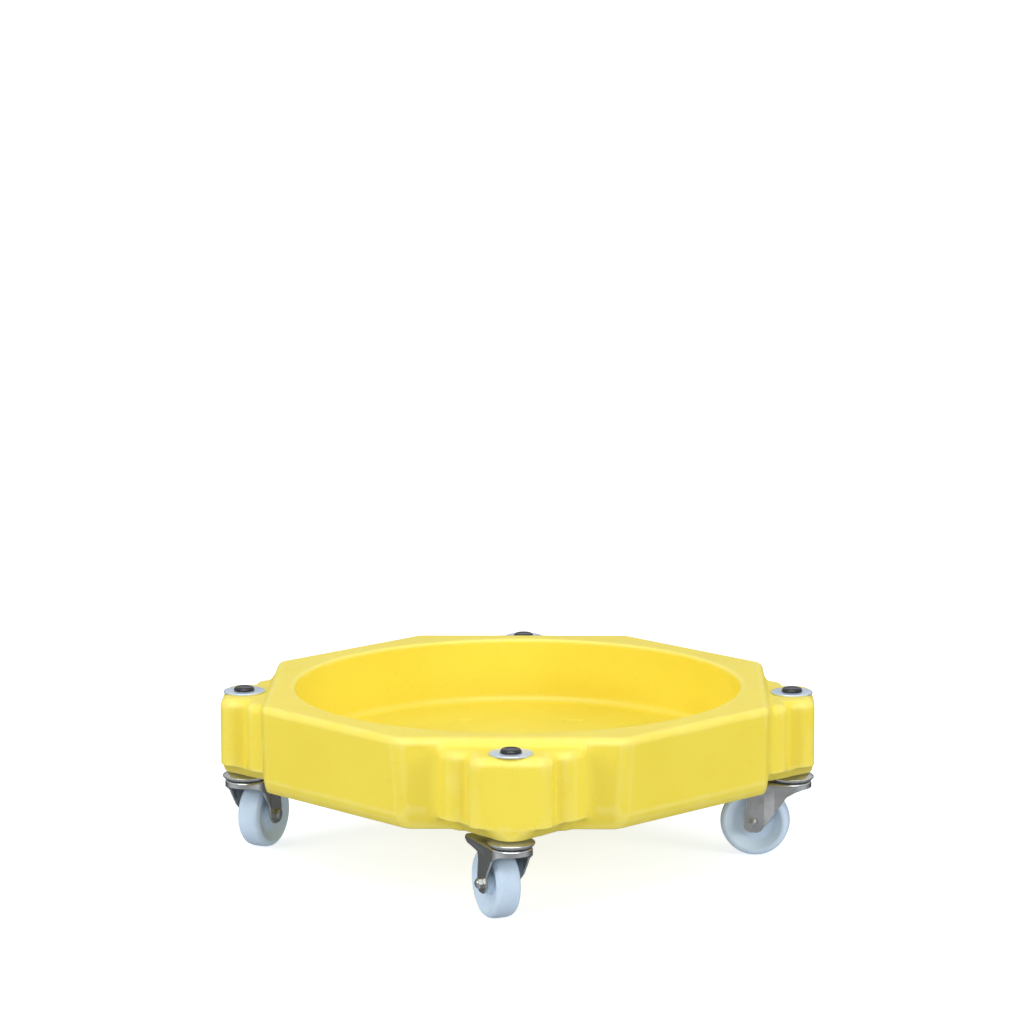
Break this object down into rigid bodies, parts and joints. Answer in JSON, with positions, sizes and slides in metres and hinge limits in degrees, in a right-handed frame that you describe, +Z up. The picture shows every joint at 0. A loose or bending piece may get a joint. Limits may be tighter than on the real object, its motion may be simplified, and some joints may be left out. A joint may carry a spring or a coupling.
{
  "type": "drum dolly",
  "caption": "Low octagonal moulded deck with a round well that holds a standing drum, carried on swivel castors with white nylon wheels under corner bosses.",
  "frame": {"origin": "on the floor, under the middle of the deck", "axes": "+Z up, X and Y square to the long sides of the deck, so that the castors stand on the diagonals"},
  "size_m": [0.7354, 0.7354, 0.253],
  "materials": {
    "yellow_polyethylene": "satin moulded skin",
    "black_plastic": "semi-gloss",
    "white_nylon": "satin",
    "zinc_steel": "bright zinc plate",
    "zinc_washer": "blue zinc plate",
    "bearing_steel": "polished"
  },
  "bodies": {
    "deck": {"deck_shell": "yellow_polyethylene", "vent_plug": "black_plastic", "castor_bolts": "zinc_steel", "castor_nuts": "zinc_steel", "spacer_tubes": "zinc_steel", "top_washers": "zinc_washer", "bolt_caps": "black_plastic", "king_sleeves": "zinc_steel", "lower_races": "zinc_steel", "head_cup_front_left": "zinc_steel", "head_cup_front_right": "zinc_steel", "head_cup_back_left": "zinc_steel", "head_cup_back_right": "zinc_steel"},
    "castor_front_left": {"fork_front_left": "zinc_steel", "swivel_balls_front_left": "bearing_steel", "axle_bolt_front_left": "zinc_steel", "axle_nut_front_left": "zinc_steel", "axle_sleeve_front_left": "zinc_steel", "hub_washers_front_left": "zinc_steel"},
    "rolling_front_left": {"wheel_front_left": "white_nylon", "wheel_bearing_front_left": "bearing_steel"},
    "castor_front_right": {"fork_front_right": "zinc_steel", "swivel_balls_front_right": "bearing_steel", "axle_bolt_front_right": "zinc_steel", "axle_nut_front_right": "zinc_steel", "axle_sleeve_front_right": "zinc_steel", "hub_washers_front_right": "zinc_steel"},
    "rolling_front_right": {"wheel_front_right": "white_nylon", "wheel_bearing_front_right": "bearing_steel"},
    "castor_back_left": {"fork_back_left": "zinc_steel", "swivel_balls_back_left": "bearing_steel", "axle_bolt_back_left": "zinc_steel", "axle_nut_back_left": "zinc_steel", "axle_sleeve_back_left": "zinc_steel", "hub_washers_back_left": "zinc_steel"},
    "rolling_back_left": {"wheel_back_left": "white_nylon", "wheel_bearing_back_left": "bearing_steel"},
    "castor_back_right": {"fork_back_right": "zinc_steel", "swivel_balls_back_right": "bearing_steel", "axle_bolt_back_right": "zinc_steel", "axle_nut_back_right": "zinc_steel", "axle_sleeve_back_right": "zinc_steel", "hub_washers_back_right": "zinc_steel"},
    "rolling_back_right": {"wheel_back_right": "white_nylon", "wheel_bearing_back_right": "bearing_steel"}
  },
  "joints": [
    {"name": "swivel_front_left", "type": "hinge", "parent": "deck", "child": "castor_front_left", "pos_m": [-0.28, -0.28, 0.11], "axis": [0, 0, 1], "continuous": true},
    {"name": "wheel_spin_front_left", "type": "hinge", "parent": "castor_front_left", "child": "rolling_front_left", "pos_m": [-0.26221, -0.23114, 0.05], "axis": [-0.9397, 0.342, 0], "continuous": true},
    {"name": "swivel_front_right", "type": "hinge", "parent": "deck", "child": "castor_front_right", "pos_m": [0.28, -0.28, 0.11], "axis": [0, 0, 1], "continuous": true},
    {"name": "wheel_spin_front_right", "type": "hinge", "parent": "castor_front_right", "child": "rolling_front_right", "pos_m": [0.24943, -0.23793, 0.05], "axis": [-0.809, -0.5878, 0], "continuous": true},
    {"name": "swivel_back_left", "type": "hinge", "parent": "deck", "child": "castor_back_left", "pos_m": [-0.28, 0.28, 0.11], "axis": [0, 0, 1], "continuous": true},
    {"name": "wheel_spin_back_left", "type": "hinge", "parent": "castor_back_left", "child": "rolling_back_left", "pos_m": [-0.23114, 0.29779, 0.05], "axis": [-0.342, 0.9397, 0], "continuous": true},
    {"name": "swivel_back_right", "type": "hinge", "parent": "deck", "child": "castor_back_right", "pos_m": [0.28, 0.28, 0.11], "axis": [0, 0, 1], "continuous": true},
    {"name": "wheel_spin_back_right", "type": "hinge", "parent": "castor_back_right", "child": "rolling_back_right", "pos_m": [0.24323, 0.31677, 0.05], "axis": [-0.7071, -0.7071, 0], "continuous": true}
  ]
}
